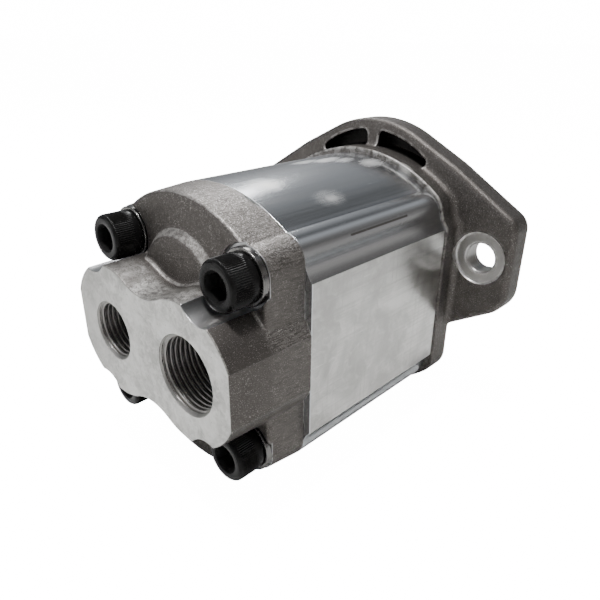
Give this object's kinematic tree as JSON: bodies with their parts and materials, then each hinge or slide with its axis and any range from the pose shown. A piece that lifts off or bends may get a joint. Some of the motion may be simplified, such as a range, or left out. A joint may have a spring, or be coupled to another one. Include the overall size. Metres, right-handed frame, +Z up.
{
  "type": "hydraulic gear pump",
  "caption": "External gear pump with an aluminium body, a two-bolt cast flange with a keyed shaft, and a rear cover with threaded inlet and outlet ports.",
  "frame": {"origin": "centre of the pilot at the mounting face, on the drive shaft's axis", "axes": "+Y out of the mounting face along the drive shaft, -Y to the ports, +X towards the inlet side, +Z up with the driven gear below the drive gear"},
  "size_m": [0.1318, 0.1545, 0.1132],
  "materials": {
    "cast_iron": "cast, dark grey",
    "extruded_aluminium": "mill finish",
    "cast_aluminium": "cast, machined faces",
    "black_steel": "black oxide",
    "bright_steel": "ground",
    "block_alloy": "machined",
    "bush_bronze": "plain bearing",
    "seal_rubber": "matt",
    "backup_plastic": "matt"
  },
  "bodies": {
    "housing": {"mounting_flange": "cast_iron", "pump_body": "extruded_aluminium", "rear_cover": "cast_aluminium", "shaft_seal_case": "seal_rubber", "shaft_seal_lip": "seal_rubber", "seal_spring": "bright_steel", "retaining_ring": "black_steel", "bearing_block_front": "block_alloy", "bush_drive_front": "bush_bronze", "bush_driven_front": "bush_bronze", "balance_seal_front": "seal_rubber", "backup_rings_front": "backup_plastic", "body_seal_front": "seal_rubber", "dowel_pins_front": "bright_steel", "bearing_block_rear": "block_alloy", "bush_drive_rear": "bush_bronze", "bush_driven_rear": "bush_bronze", "balance_seal_rear": "seal_rubber", "backup_rings_rear": "backup_plastic", "body_seal_rear": "seal_rubber", "dowel_pins_rear": "bright_steel", "cap_screw_upper_right": "black_steel", "washer_upper_right": "black_steel", "cap_screw_upper_left": "black_steel", "washer_upper_left": "black_steel", "cap_screw_lower_right": "black_steel", "washer_lower_right": "black_steel", "cap_screw_lower_left": "black_steel", "washer_lower_left": "black_steel"},
    "drive": {"drive_gear_shaft": "bright_steel", "shaft_key": "bright_steel"},
    "driven": {"driven_gear_shaft": "bright_steel"}
  },
  "joints": [
    {"name": "drive_spin", "type": "hinge", "parent": "housing", "child": "drive", "pos_m": [0, 0, 0], "axis": [0, 1, 0], "continuous": true},
    {"name": "driven_spin", "type": "hinge", "parent": "housing", "child": "driven", "pos_m": [0, 0, -0.032], "axis": [0, 1, 0], "continuous": true}
  ],
  "couplings": [
    {"joint": "driven_spin", "follows": "drive_spin", "ratio": -1}
  ]
}
